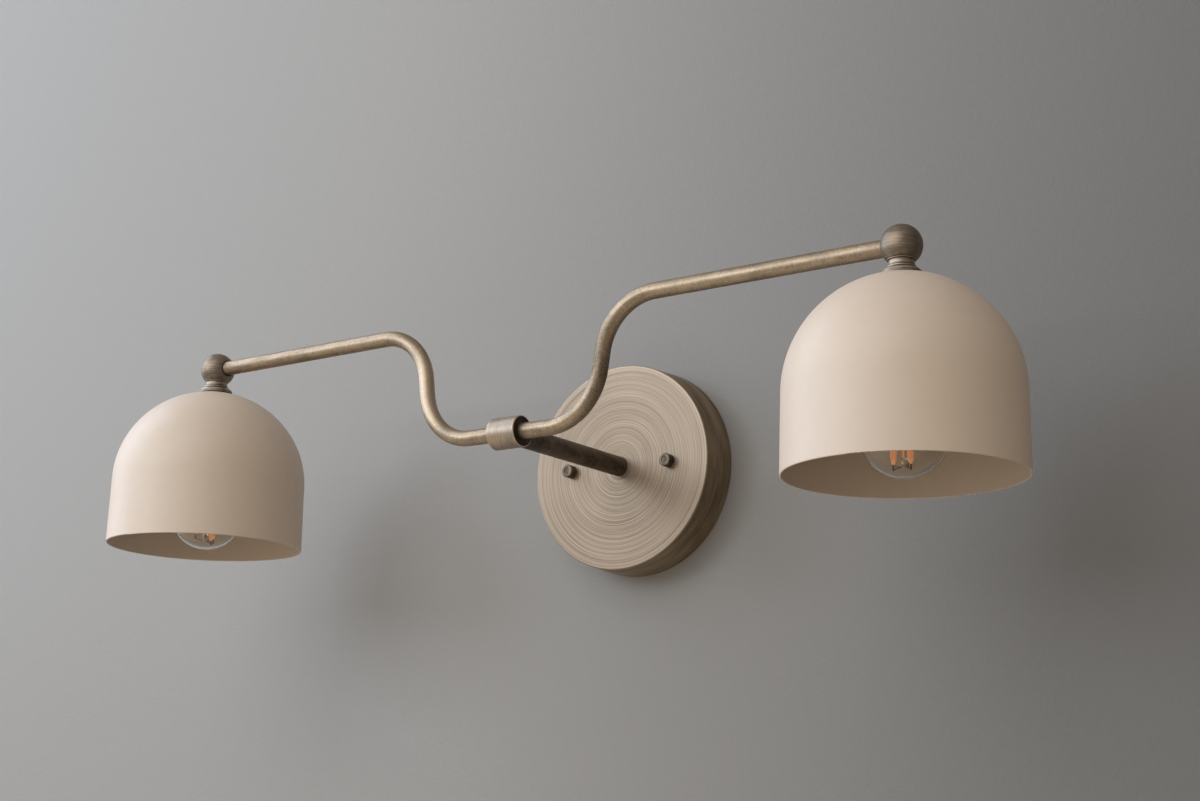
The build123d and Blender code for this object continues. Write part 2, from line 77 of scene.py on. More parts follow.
# -- Canopy --
CANOPY_DEPTH = 26.6 * MM
CANOPY_BACK_R = 67.9 * MM
CANOPY_FRONT_R = 66.7 * MM
CANOPY_WALL = 1.2 * MM
CANOPY_EDGE_R = 0.9 * MM
CANOPY_EDGE_STEPS = 6
CANOPY_INNER_CORNER = 0.6 * MM
CANOPY_NIPPLE_HOLE_R = 4.88 * MM
CANOPY_POST_SEAT_R = 6.9 * MM
CANOPY_TURN_STEPS = 240
# What lies higher than this belongs to the face and its rings.
CANOPY_FACE = 26.3 * MM

# -- Turned rings of the canopy's face; radii and sizes in millimetres, drawn between two limits --
RINGS_FROM, RINGS_TO = 8.5, 64.2
GROOVE_WIDTH = (0.35, 0.75)
GROOVE_DEPTH = (0.015, 0.045)
GROOVE_STRENGTH = (0.35, 1.0)
LAND_WIDTH = (0.9, 3.2)
LAND_DIP = (0.0, 0.012)
# The rings wander: millimetres of swing, waves in a turn, and how fast the waves shift outwards.
RING_WANDER = ((0.16, 3, 900), (0.10, 7, -1700))
WANDER_FROM_R, WANDER_TO_R = 8.0 * MM, 64.0 * MM

# -- Screw threads: radius of the crest, the root and the bore, and the rise of one turn --
NIPPLE_THREAD = (4.83 * MM, 4.35 * MM, 3.6 * MM, 25.4 / 27 * MM)
STUD_THREAD = (2.08 * MM, 1.68 * MM, None, 25.4 / 32 * MM)
BULB_THREAD = (13.0 * MM, 12.4 * MM, 12.15 * MM, 3.63 * MM)
THREAD_STEPS = 32

# -- Where each threaded piece starts and ends along its axis --
SHADE_NIPPLE_ENDS = (43.8 * MM, 63.3 * MM)
POST_NIPPLE_ENDS = (18.9 * MM, 38.6 * MM)
BULB_CAP_ENDS = (1.5 * MM, 21.5 * MM)
STUD_ENDS = (0.0, 30.8 * MM)

# -- Trim of the ball joint that the CAD leaves out --
# Outlines of (radius, depth below the ball's centre) in millimetres. The collar is the flared foot on the
# shade, and the cove lies between the ball and its bead.
BALL_TRIM = {
    "collar": (
        (7.2, 12.9), (7.9, 13.0), (9.3, 13.45), (10.15, 14.2), (10.5, 15.2), (10.55, 16.5), (10.3, 16.8),
        (10.3, 17.7), (7.2, 17.7),
    ),
    "cove": ((7.4, 7.15), (8.45, 7.2), (8.4, 7.4), (8.05, 7.65), (7.85, 7.9), (7.4, 7.95)),
}
BALL_TRIM_STEPS = 96

# -- Filaments: degrees round the bulb's axis and how much higher the low end is, for each of the four --
FILAMENT_REAR_LIFT = 3.2 * MM
FILAMENT_SPOTS = ((-35.0, 0.0), (-125.0, 0.0), (99.0, FILAMENT_REAR_LIFT), (183.5, FILAMENT_REAR_LIFT))
FILAMENT_LOW_RING_R = 6.4 * MM
FILAMENT_TOP_RING_R = 4.6 * MM
FILAMENT_LOW = -45.0 * MM
FILAMENT_TOP = -11.8 * MM
# From an end to the full bar, in millimetres: radius, height and how yellow the coating is there.
FILAMENT_TAPER = ((0.0, 0.0, 1.0), (0.45, 0.0, 1.0), (0.70, 0.5, 1.0), (1.15, 1.4, 0.9), (1.45, 2.6, 0.2))
FILAMENT_STEPS = 24

# -- Lead wires and the stem that they run to --
LEAD_R = 0.3 * MM
LEAD_PIN = 2.8 * MM
LEAD_PIN_R = 1.5 * LEAD_R
LEAD_STEPS = 12
LEAD_GATHERING = 0.3
STEM_TIP = Vector((0, 0, -45.6 * MM))
STEM_PRESS = Vector((0, 0, -9.5 * MM))
# Each bulb comes to rest at a turn of its own when it is screwed in.
BULB_TURNS = {1: radians(0.0), -1: radians(136.0)}

# -- Arms --
ARM_R = 4.7625 * MM
ARM_WALL = 1.0 * MM
ARM_START = 4.6 * MM
ARM_END = HEAD_X - 1.0 * MM
ARM_BEND_START = 30.0 * MM
ARM_BEND_R = 35.5 * MM
ARM_LEAN = radians(8.0)
ARM_RISE = 71.5 * MM
ARM_SIDES = 40
ARM_BEND_STEPS = 30


# ---------------------------------------------------------------- shader maths


class Signal:
    """A shader socket that takes part in Python arithmetic; each expression adds its Math nodes."""

    def __init__(self, shader, socket):
        self.shader = shader
        self.socket = socket

    def maths(self, operation, *values, clamp=False):
        settings = {"operation": operation, "use_clamp": clamp}
        return self.shader.node("ShaderNodeMath", settings, dict(enumerate(values)))

    def __add__(self, other):
        return self.maths("ADD", self, other)

    def __sub__(self, other):
        return self.maths("SUBTRACT", self, other)

    def __rsub__(self, other):
        return self.maths("SUBTRACT", other, self)

    def __mul__(self, other):
        return self.maths("MULTIPLY", self, other)

    def __truediv__(self, other):
        return self.maths("DIVIDE", self, other)

    def __rtruediv__(self, other):
        return self.maths("DIVIDE", other, self)

    def __pow__(self, other):
        return self.maths("POWER", self, other)

    def __abs__(self):
        return self.maths("ABSOLUTE", self)

    __radd__ = __add__
    __rmul__ = __mul__

    def clamped(self):
        """This signal kept from 0 to 1."""
        return self.maths("MULTIPLY", self, 1.0, clamp=True)

    def between(self, low, high, start=0.0, end=1.0):
        """This signal mapped so that low gives start and high gives end, smoothly and no further."""
        settings = {"interpolation_type": "SMOOTHSTEP"}
        values = {0: self, 1: low, 2: high, 3: start, 4: end}
        return self.shader.node("ShaderNodeMapRange", settings, values)


class Shader:
    """The nodes of one material or world."""

    def __init__(self, tree):
        self.tree = tree

    def node(self, kind, settings=None, values=None, output=0):
        """Adds a node: its settings first, then the values or links of its inputs; gives one output."""
        made = self.tree.nodes.new(kind)
        for name, setting in (settings or {}).items():
            setattr(made, name, setting)
        for key, value in (values or {}).items():
            if isinstance(value, Signal):
                self.tree.links.new(value.socket, made.inputs[key])
            else:
                made.inputs[key].default_value = value
        return Signal(self, made.outputs[output])

    def mix(self, factor, first, second):
        """One colour mixed into another by a factor."""
        values = {0: factor, 6: colour_of(first), 7: colour_of(second)}
        return self.node("ShaderNodeMix", {"data_type": "RGBA"}, values, output=2)

    def vector(self, operation, first, second, output=0):
        return self.node("ShaderNodeVectorMath", {"operation": operation}, {0: first, 1: second}, output)

    def parts(self, vector):
        made = self.node("ShaderNodeSeparateXYZ", values={0: vector})
        return [Signal(self, socket) for socket in made.socket.node.outputs]

    def object_place(self):
        return self.node("ShaderNodeTexCoord", output="Object")

    def attribute(self, name, output="Fac"):
        return self.node("ShaderNodeAttribute", {"attribute_name": name}, output=output)

    def noise(self, place, scale, detail=2.0, roughness=0.5):
        values = {"Vector": place, "Scale": scale, "Detail": detail, "Roughness": roughness}
        return self.node("ShaderNodeTexNoise", {"noise_dimensions": "3D"}, values)

    def bump(self, height, distance):
        """A surface normal bent by a height that runs from 0 to 1 over the given distance."""
        return self.node("ShaderNodeBump", values={"Height": height, "Distance": distance})


def colour_of(value):
    return value if isinstance(value, Signal) or len(value) == 4 else (*value, 1.0)


class Finish(Shader):
    """A material under construction: its nodes feed one Principled shader."""

    def __init__(self, name, **constants):
        self.material = bpy.data.materials.new(name)
        self.material.use_nodes = True
        super().__init__(self.material.node_tree)
        self.surface = self.tree.nodes["Principled BSDF"]
        for socket, value in constants.items():
            self.surface.inputs[socket.replace("_", " ")].default_value = value

    def paint(self, **signals):
        """Feeds the named inputs of the surface, and gives the material."""
        for socket, signal in signals.items():
            target = self.surface.inputs[socket.replace("_", " ")]
            if isinstance(signal, Signal):
                self.tree.links.new(signal.socket, target)
            else:
                target.default_value = signal
        return self.material

    def see_through(self, share, tint=(1.0, 1.0, 1.0, 1.0)):
        """Lets the view through, tinted, where share is 1."""
        clear = self.node("ShaderNodeBsdfTransparent", values={"Color": tint})
        surface = Signal(self, self.surface.outputs[0])
        shown = self.node("ShaderNodeMixShader", values={0: share, 1: surface, 2: clear})
        self.tree.links.new(shown.socket, self.tree.nodes["Material Output"].inputs["Surface"])


class TurnedPlace:
    """Where a point lies on a turned piece: round its axis, along it and out from it."""

    def __init__(self, finish, centre, axis, mirrored=False):
        self.finish = finish
        place = finish.object_place()
        if mirrored:
            place = finish.node("ShaderNodeVectorMath", {"operation": "ABSOLUTE"}, {0: place})
        offset = finish.vector("SUBTRACT", place, centre)
        parts = dict(zip("XYZ", finish.parts(offset)))
        self.along = parts.pop(axis)
        first, second = parts.values()
        self.out = (first * first + second * second) ** 0.5
        never_zero = self.out + 1e-6
        self.round = (first / never_zero, second / never_zero)

    def marks(self, per_turn, along_scale, out_scale, detail=2.0, roughness=0.5):
        """Noise that is drawn out round the axis, as a turning tool or a brush leaves it."""
        first, second = self.round
        values = {0: first * per_turn, 1: second * per_turn, 2: self.along * along_scale}
        place = self.finish.node("ShaderNodeCombineXYZ", values=values)
        values = {"Vector": place, "W": self.out * out_scale, "Scale": 1.0}
        values.update({"Detail": detail, "Roughness": roughness})
        return self.finish.node("ShaderNodeTexNoise", {"noise_dimensions": "4D"}, values)


def turned_about(centre, axis, mirrored=False):
    """Gives a finish its places on a piece that is turned about this axis."""
    return lambda finish: TurnedPlace(finish, centre, axis, mirrored)


class TubePlace(TurnedPlace):
    """The same for a bent tube, read from the place that each point had on the straight tube."""

    def __init__(self, finish):
        self.finish = finish
        first, second, self.along = finish.parts(finish.attribute("straight_place", "Vector"))
        self.out = ARM_R
        self.round = (first, second)


# ---------------------------------------------------------------- finishes

# Noise lies round 0.5. Between these limits is nearly all of it, most of it, its upper half or its peaks.
NEARLY_ALL = (0.34, 0.66)
MOST = (0.35, 0.65)
UPPER_HALF = (0.4, 0.7)
PEAKS = (0.62, 0.72)

# Colours are linear red, green and blue. Where there are two, the finish varies from the one to the other.
PALE_BRASS = (0.50, 0.405, 0.325)
# The pale tone serves wear and painted highlights, the dark one patina and painted shade.
RUBBED_AND_HIGHLIGHT_BRASS = (0.62, 0.52, 0.42)
DARK_PATINA_AND_SHADE = (0.050, 0.040, 0.031)
GREY_TO_WARM_BRASS = ((0.34, 0.290, 0.240), (0.36, 0.272, 0.182))
CANOPY_FACE_BRASS = ((0.276, 0.215, 0.162), (0.352, 0.276, 0.209))
CANOPY_SIDE_BRASS = ((0.175, 0.128, 0.084), (0.43, 0.332, 0.230))
CANOPY_CUT, CANOPY_RIDGE = (0.15, 0.116, 0.086), (0.47, 0.386, 0.31)
# The rim tone is a painted highlight.
CANOPY_GROOVE, CANOPY_RIM_HIGHLIGHT = (0.12, 0.092, 0.068), (0.50, 0.42, 0.33)
CREAM = ((0.606, 0.495, 0.407), (0.614, 0.503, 0.416))
CREAM_DUST = (0.64, 0.53, 0.43)
ZINC = ((0.42, 0.43, 0.42), (0.66, 0.66, 0.62))
GREEN_TO_BARE = ((0.03, 0.20, 0.07), (0.30, 0.34, 0.30))
GLAZE = ((0.72, 0.70, 0.65), (0.80, 0.79, 0.75))
GLAZE_PIT = (0.42, 0.37, 0.30)
GLASS = ((0.99, 0.98, 0.96), (0.95, 0.94, 0.91))
GLASS_GLINT = (1.0, 0.86, 0.74, 1.0)
GLASS_SHADOW = (0.92, 0.92, 0.90, 1.0)
AMBER = ((0.60, 0.26, 0.125), (0.66, 0.36, 0.165))
AMBER_TIP = (0.76, 0.54, 0.23)
# A faint painted glow of the filaments, though the bulb is off.
AMBER_PAINTED_GLOW = (0.29, 0.092, 0.036, 1.0)
BLACK_GLASS = ((0.012, 0.012, 0.014), (0.05, 0.045, 0.05))
SOLDER = ((0.38, 0.38, 0.38), (0.66, 0.66, 0.65))
LEAD_WIRE = ((0.07, 0.06, 0.055), (0.34, 0.31, 0.28))
# Deep tone, pale tone and roughness of the spun metals.
BRIGHT_BRASS = ((0.58, 0.40, 0.17), (0.83, 0.62, 0.30), 0.28)
PLATED_CAP = ((0.40, 0.39, 0.36), (0.66, 0.64, 0.60), 0.33)
BULB_CAP = ((0.50, 0.50, 0.50), (0.75, 0.75, 0.74), 0.25)

# A noise's scale is in marks to a metre, so 1000 gives marks of about a millimetre.
BRUSH_LINES = 1500.0
BRUSH_BANDS = BRUSH_LINES / 3.5
# Where the canopy's side turns into its face, and where the face meets its rim, which is painted pale as a
# highlight.
CANOPY_TURNS_TO_FACE = (25.4 * MM, 26.0 * MM)
CANOPY_RIM_HIGHLIGHT_R = (65.4 * MM, 65.8 * MM)


def brushed_light(bands, hairlines):
    """Where the brush left the brass bright."""
    return (bands * 0.45 + hairlines * 0.55).between(*NEARLY_ALL)


def aged_brass(name, place_of, patina, wear_and_highlight=None, patina_and_shade=None, lay=0.75, mottle=0.0, warmth=0.0):
    """Brass under a brown patina, brushed round its axis as strongly as lay says.

    Two masks give the places that are painted pale, for wear and as painted highlight, and those painted dark,
    for patina and as painted shade.
    """
    finish = Finish(name, Metallic=1.0)
    place = place_of(finish)
    hairlines = place.marks(1.4, BRUSH_LINES, BRUSH_LINES, detail=3.0, roughness=0.65)
    bands = place.marks(0.9, BRUSH_BANDS, BRUSH_BANDS)
    clouds = place.marks(1.3, 60.0, 60.0)
    specks = finish.noise(finish.object_place(), 1900.0)
    colour = finish.mix((clouds + warmth).between(*MOST), *GREY_TO_WARM_BRASS)
    colour = finish.mix(brushed_light(bands, hairlines) * lay, colour, PALE_BRASS)
    colour = finish.mix(specks.between(*PEAKS) * 0.25, colour, PALE_BRASS)
    streaky = 0.7 * lay
    stain_and_shade = (clouds * (1 - streaky) + hairlines * streaky).between(0.60, 0.36) * 0.3 + patina
    # Painted shade from the dark mask joins the random stain and the patina here.
    if patina_and_shade:
        stain_and_shade = stain_and_shade + patina_and_shade(place)
    # The pale mask paints wear and painted highlights.
    if wear_and_highlight:
        shine = wear_and_highlight(place)
        stain_and_shade = stain_and_shade - shine
        colour = finish.mix(shine, colour, RUBBED_AND_HIGHLIGHT_BRASS)
    if mottle:
        spots = finish.noise(finish.object_place(), 950.0, detail=4.0, roughness=0.7)
        colour = finish.mix(spots.between(0.48, 0.30) * mottle, colour, RUBBED_AND_HIGHLIGHT_BRASS)
        stain_and_shade = stain_and_shade + spots.between(0.50, 0.68) * mottle
    stain_and_shade = stain_and_shade.clamped()
    return finish.paint(
        Base_Color=finish.mix(stain_and_shade, colour, DARK_PATINA_AND_SHADE),
        Roughness=0.47 + (hairlines - 0.5) * 0.2 + stain_and_shade * 0.08,
        Normal=finish.bump(hairlines * 0.7 + bands * 0.3, 0.018 * MM * lay),
    )


def canopy_brass():
    """The canopy's face is turned in rings: the grooves are dark and the ridges between them pale. A painted
    highlight runs round its rim.
    """
    finish = Finish("canopy_brass", Metallic=1.0)
    place = TurnedPlace(finish, (0, 0, 0), "Y")
    groove = finish.attribute("groove")
    hairlines = place.marks(1.2, 2600.0, 1700.0, detail=3.0, roughness=0.7)
    bands = place.marks(0.35, 500.0, 240.0)
    blotches = place.marks(1.5, 90.0, 60.0, detail=3.0)
    cuts = place.marks(0.20, 0.0, 860.0, detail=1.0)
    ridges = place.marks(0.26, 0.0, 1080.0, detail=1.0)
    dark_lines = abs(cuts - 0.5).between(0.085, 0.02) * blotches.between(0.3, 0.6, 0.3, 1.0)
    pale_lines = abs(ridges - 0.5).between(0.07, 0.015)
    face = (0 - place.along).between(*CANOPY_TURNS_TO_FACE)
    # A painted highlight along the rim of the face.
    rim = place.out.between(*CANOPY_RIM_HIGHLIGHT_R) * face
    face_colour = finish.mix(brushed_light(bands, hairlines), *CANOPY_FACE_BRASS)
    face_colour = finish.mix(dark_lines * 0.34, face_colour, CANOPY_CUT)
    face_colour = finish.mix(pale_lines * 0.34, face_colour, CANOPY_RIDGE)
    face_colour = finish.mix(groove * 0.6, face_colour, CANOPY_GROOVE)
    face_colour = finish.mix(rim * 0.4, face_colour, CANOPY_RIM_HIGHLIGHT)
    side_tone = (blotches * 0.6 + hairlines * 0.4).between(*MOST)
    side_colour = finish.mix(side_tone, *CANOPY_SIDE_BRASS)
    return finish.paint(
        Base_Color=finish.mix(face, side_colour, face_colour),
        Roughness=0.56 + (hairlines - 0.5) * 0.2,
        Normal=finish.bump(hairlines * 0.5 + dark_lines * -0.5, 0.016 * MM),
    )


def shade_paint():
    """Matt cream powder coat, with the faint grain that such paint sets with."""
    finish = Finish("shade_paint", Specular_IOR_Level=0.7)
    place = finish.object_place()
    grain = finish.noise(place, 1100.0, roughness=0.55)
    swell = finish.noise(place, 160.0)
    dust = finish.noise(place, 2600.0, detail=1.0)
    colour = finish.mix(swell.between(*MOST), *CREAM)
    return finish.paint(
        Base_Color=finish.mix(dust.between(*PEAKS) * 0.35, colour, CREAM_DUST),
        Roughness=0.50 + (grain - 0.5) * 0.12,
        Normal=finish.bump(grain * 0.8 + swell * 0.2, 0.03 * MM),
    )


def zinc_plate():
    """Bright zinc with the spangle and the fine scratches of hardware."""
    finish = Finish("zinc_plate", Metallic=1.0)
    place = finish.object_place()
    cells = finish.node("ShaderNodeTexVoronoi", values={"Vector": place, "Scale": 420.0}, output="Color")
    cloud = finish.noise(place, 90.0, detail=3.0)
    scratches = finish.noise(place, 2200.0)
    tone = finish.parts(cells)[0] * 0.35 + cloud * 0.65
    return finish.paint(
        Base_Color=finish.mix(tone.between(0.3, 0.7), *ZINC),
        Roughness=0.34 + (scratches - 0.5) * 0.2,
        Normal=finish.bump(scratches, 0.02 * MM),
    )


def green_enamel():
    """Green paint of the ground screw, worn to the metal in spots."""
    finish = Finish("green_enamel", Coat_Weight=0.4)
    scuffs = finish.noise(finish.object_place(), 900.0, detail=3.0)
    worn = scuffs.between(0.60, 0.70)
    return finish.paint(
        Base_Color=finish.mix(worn, *GREEN_TO_BARE),
        Metallic=worn,
        Roughness=0.35 + scuffs * 0.1,
        Normal=finish.bump(scuffs, 0.02 * MM),
    )


def porcelain():
    """White glaze with a few dark pits."""
    finish = Finish("porcelain", Coat_Weight=0.3)
    place = finish.object_place()
    pits = finish.noise(place, 1400.0)
    cloud = finish.noise(place, 70.0)
    colour = finish.mix(cloud.between(*MOST), *GLAZE)
    return finish.paint(
        Base_Color=finish.mix(pits.between(0.70, 0.78) * 0.5, colour, GLAZE_PIT),
        Roughness=0.22 + pits * 0.1,
        Normal=finish.bump(pits, 0.02 * MM),
    )


def spun_metal(name, deep, pale, roughness, centre):
    """Thin bright metal with the faint rings of its forming."""
    finish = Finish(name, Metallic=1.0)
    place = TurnedPlace(finish, centre, "Z")
    rings = place.marks(1.0, 2200.0, 2200.0)
    cloud = place.marks(1.5, 160.0, 160.0, detail=3.0)
    return finish.paint(
        Base_Color=finish.mix((rings * 0.4 + cloud * 0.6).between(0.32, 0.68), deep, pale),
        Roughness=roughness + (cloud - 0.5) * 0.2,
        Normal=finish.bump(rings, 0.015 * MM),
    )


def clear_glass():
    """Clear glass that lets the lights through to what is inside it."""
    finish = Finish("clear_glass", Transmission_Weight=1.0, IOR=1.46, Specular_Tint=GLASS_GLINT)
    place = finish.object_place()
    film = finish.noise(place, 60.0, detail=3.0)
    ripple = finish.noise(place, 45.0, detail=1.0)
    finish.paint(
        Base_Color=finish.mix(film.between(*UPPER_HALF), *GLASS),
        Roughness=film.between(0.35, 0.75, 0.02, 0.07),
        Normal=finish.bump(ripple, 0.05 * MM),
    )
    finish.see_through(finish.node("ShaderNodeLightPath", output="Is Shadow Ray"), GLASS_SHADOW)
    return finish.material


def amber_phosphor():
    """The coating of the filaments: salmon in the middle and yellower where it is thin. It carries a faint
    painted glow, though the bulb is off.
    """
    finish = Finish("amber_phosphor", Emission_Color=AMBER_PAINTED_GLOW, Emission_Strength=1.0)
    lumps = finish.noise(finish.object_place(), 900.0)
    colour = finish.mix(lumps.between(*MOST), *AMBER)
    return finish.paint(
        Base_Color=finish.mix(finish.attribute("tip"), colour, AMBER_TIP),
        Roughness=0.45 + lumps * 0.15,
        Normal=finish.bump(lumps, 0.08 * MM),
    )


def two_toned(name, tones, scale, limits, roughness, dulling, relief, metallic):
    """A small part's finish: one noise gives its two tones, its gloss and its relief."""
    finish = Finish(name, Metallic=metallic)
    flow = finish.noise(finish.object_place(), scale)
    return finish.paint(
        Base_Color=finish.mix(flow.between(*limits), *tones),
        Roughness=roughness + flow * dulling,
        Normal=finish.bump(flow, relief),
    )


# ---------------------------------------------------------------- modelling


def finished_piece(shape, name, body, slot, finish, stands_for=None):
    """Turns a bmesh into a piece of the object that rides on a CAD body."""
    bmesh.ops.remove_doubles(shape, verts=shape.verts, dist=SAME_CORNER)
    bmesh.ops.recalc_face_normals(shape, faces=shape.faces)
    mesh = bpy.data.meshes.new(name)
    shape.to_mesh(mesh)
    shape.free()
    mesh.polygons.foreach_set("use_smooth", [True] * len(mesh.polygons))
    mesh.set_sharp_from_angle(angle=SHARP_EDGE)
    mesh.materials.append(finish)
    piece = bpy.data.objects.new(name, mesh)
    bpy.context.scene.collection.objects.link(piece)
    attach(piece, body)
    if stands_for:
        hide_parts(stands_for)


def corners_of(geometry):
    """The corners among what an operator gives back, which mixes corners, edges and faces."""
    return [part for part in geometry if isinstance(part, bmesh.types.BMVert)]


def edges_of(geometry):
    """The edges among them."""
    return [part for part in geometry if isinstance(part, bmesh.types.BMEdge)]


def at_head(shape, side):
    """Moves what stands on the origin's Z axis to the axis of a head."""
    bmesh.ops.translate(shape, vec=(side * HEAD_X, -REACH, 0), verts=shape.verts)
    return shape


def spun_outline(points, steps):
    """A closed outline of (radius, height) points, spun about Z into a turned solid."""
    shape = bmesh.new()
    corners = [shape.verts.new((radius, 0, height)) for radius, height in points]
    sides = [shape.edges.new(pair) for pair in zip(corners, corners[1:] + corners[:1])]
    bmesh.ops.spin(shape, geom=corners + sides, **ABOUT_Z, angle=2 * pi, steps=steps, use_merge=True)
    return shape


def ball_trim(outline):
    """A turned ring of the ball joint, from its outline below the ball's centre."""
    return spun_outline([(radius * MM, HEAD_Z - depth * MM) for radius, depth in outline], BALL_TRIM_STEPS)


def threaded(thread, ends):
    """A screw thread about Z: the outline of one turn spun upwards, cut off square, hollow or solid."""
    crest_r, root_r, bore_r, pitch = thread
    low, high = ends
    shape = bmesh.new()
    # One turn of the thread: the radius at each share of its rise.
    outline = ((root_r, 0.0), (root_r, 0.14), (crest_r, 0.40), (crest_r, 0.60), (root_r, 0.86), (root_r, 1.0))
    # It starts a turn and a half below the low end and runs past the high one.
    turns = ceil((high - low) / pitch) + 2
    corners = [shape.verts.new((radius, 0, low + (share - 1.5) * pitch)) for radius, share in outline]
    sides = [shape.edges.new(pair) for pair in zip(corners, corners[1:])]
    bmesh.ops.spin(
        shape, geom=corners + sides, **ABOUT_Z, dvec=(0, 0, pitch / THREAD_STEPS),
        angle=2 * pi * turns, steps=THREAD_STEPS * turns,
    )
    bmesh.ops.remove_doubles(shape, verts=shape.verts, dist=SAME_CORNER)
    for height, up in ((low, -1), (high, 1)):
        everything = shape.verts[:] + shape.edges[:] + shape.faces[:]
        bmesh.ops.bisect_plane(
            shape, geom=everything, plane_co=(0, 0, height), plane_no=(0, 0, up), clear_outer=True
        )
    rims = [edge for edge in shape.edges if edge.is_boundary]
    if not bore_r:
        bmesh.ops.holes_fill(shape, edges=rims, sides=0)
        return shape
    for corner in corners_of(bmesh.ops.extrude_edge_only(shape, edges=rims)["geom"]):
        corner.co.xy *= bore_r / corner.co.xy.length
    bmesh.ops.bridge_loops(shape, edges=[edge for edge in shape.edges if edge.is_boundary])
    return shape


def filament_ends():
    """The low and the high end of each coated bar, as places round the bulb's axis."""
    for degrees, lift in FILAMENT_SPOTS:
        out = Vector((cos(radians(degrees)), sin(radians(degrees)), 0))
        low = out * FILAMENT_LOW_RING_R + Vector((0, 0, FILAMENT_LOW + lift))
        yield low, out * FILAMENT_TOP_RING_R + Vector((0, 0, FILAMENT_TOP))


def laid_along(shape, corners, start, end):
    """Moves what stands on the origin along Z so that it runs from start towards end."""
    turn = Vector((0, 0, 1)).rotation_difference(end - start).to_matrix().to_4x4()
    bmesh.ops.transform(shape, matrix=Matrix.Translation(start) @ turn, verts=corners)


def in_bulb(shape, side):
    """Turns what stands about the bulb's axis as the bulb came to rest, and moves it to its head."""
    turn = Matrix.Rotation(BULB_TURNS[side], 3, "Z")
    bmesh.ops.rotate(shape, cent=(0, 0, 0), matrix=turn, verts=shape.verts)
    return at_head(shape, side)


def filament_bars(side):
    """Coated bars round the stem, closer together at the top, each tapered at both ends."""
    shape = bmesh.new()
    tip = shape.verts.layers.float.new("tip")
    for low, high in filament_ends():
        length = (high - low).length
        half = [(radius * MM, height * MM, share) for radius, height, share in FILAMENT_TAPER]
        earlier_bars = set(shape.verts)
        other_half = [(radius, length - height, share) for radius, height, share in reversed(half)]
        corners = []
        for radius, height, share in half + other_half:
            corner = shape.verts.new((radius, 0, height))
            corner[tip] = share
            corners.append(corner)
        sides = [shape.edges.new(pair) for pair in zip(corners, corners[1:])]
        bmesh.ops.spin(
            shape, geom=corners + sides, **ABOUT_Z, angle=2 * pi, steps=FILAMENT_STEPS, use_merge=True
        )
        laid_along(shape, [corner for corner in shape.verts if corner not in earlier_bars], low, high)
    return in_bulb(shape, side)


def lead_wires(side):
    """Bare wires: a pin below each bar, a wire from the pin to the stem's tip and one up to its press."""
    shape = bmesh.new()
    for low, high in filament_ends():
        pin_end = low - Vector((0, 0, LEAD_PIN))
        for start, end, radius in (
            (pin_end, low, LEAD_PIN_R),
            (pin_end + Vector((0, 0, LEAD_R)), STEM_TIP + Vector((*low.xy * LEAD_GATHERING, 0)), LEAD_R),
            (high, STEM_PRESS + Vector((*high.xy * LEAD_GATHERING, 0)), LEAD_R),
        ):
            length = (end - start).length
            middle = Matrix.Translation((0, 0, length / 2))
            wire = bmesh.ops.create_cone(
                shape, segments=LEAD_STEPS, radius1=radius, radius2=radius, depth=length, cap_ends=True,
                matrix=middle,
            )["verts"]
            laid_along(shape, wire, start, end)
    return in_bulb(shape, side)


def turned_rings():
    """Grooves and lands across the canopy's face, in millimetres: radius, depth and how dark each point is."""
    dice = random.Random(14)
    radius = RINGS_FROM
    while radius < RINGS_TO:
        width = dice.uniform(*GROOVE_WIDTH)
        depth = dice.uniform(*GROOVE_DEPTH)
        strength = dice.uniform(*GROOVE_STRENGTH)
        yield radius, 0.0, 0.15
        yield radius + width / 2, depth, strength
        yield radius + width, 0.01, 0.0
        land = dice.uniform(*LAND_WIDTH)
        yield radius + width + land * 0.5, dice.uniform(*LAND_DIP), 0.0
        radius += width + land


def canopy_outline():
    """The canopy's section with the turned rings cut into its face; gives points and groove strengths."""
    slope = (CANOPY_BACK_R - CANOPY_FRONT_R) / CANOPY_DEPTH
    edge_r = CANOPY_FRONT_R - CANOPY_EDGE_R
    points = [(CANOPY_NIPPLE_HOLE_R, CANOPY_DEPTH, 0.3), (CANOPY_POST_SEAT_R, CANOPY_DEPTH, 0.2)]
    points += [(radius * MM, CANOPY_DEPTH - depth * MM, groove) for radius, depth, groove in turned_rings()]
    points.append((edge_r, CANOPY_DEPTH, 0.0))
    for step in range(1, CANOPY_EDGE_STEPS + 1):
        angle = pi / 2 * step / CANOPY_EDGE_STEPS
        out = edge_r + CANOPY_EDGE_R * sin(angle) + slope * CANOPY_EDGE_R * sin(angle)
        points.append((out, CANOPY_DEPTH - CANOPY_EDGE_R + CANOPY_EDGE_R * cos(angle), 0.0))
    floor = CANOPY_DEPTH - CANOPY_WALL
    inner_r = CANOPY_FRONT_R - CANOPY_WALL
    corner = CANOPY_INNER_CORNER
    return points + [
        (CANOPY_BACK_R, 0.0, 0.0),
        (CANOPY_BACK_R - CANOPY_WALL, 0.0, 0.0),
        (inner_r + slope * CANOPY_EDGE_R, floor - corner, 0.0),
        (inner_r - 0.3 * corner, floor - 0.3 * corner, 0.0),
        (inner_r - corner, floor, 0.0),
        (CANOPY_NIPPLE_HOLE_R, floor, 0.0),
    ]


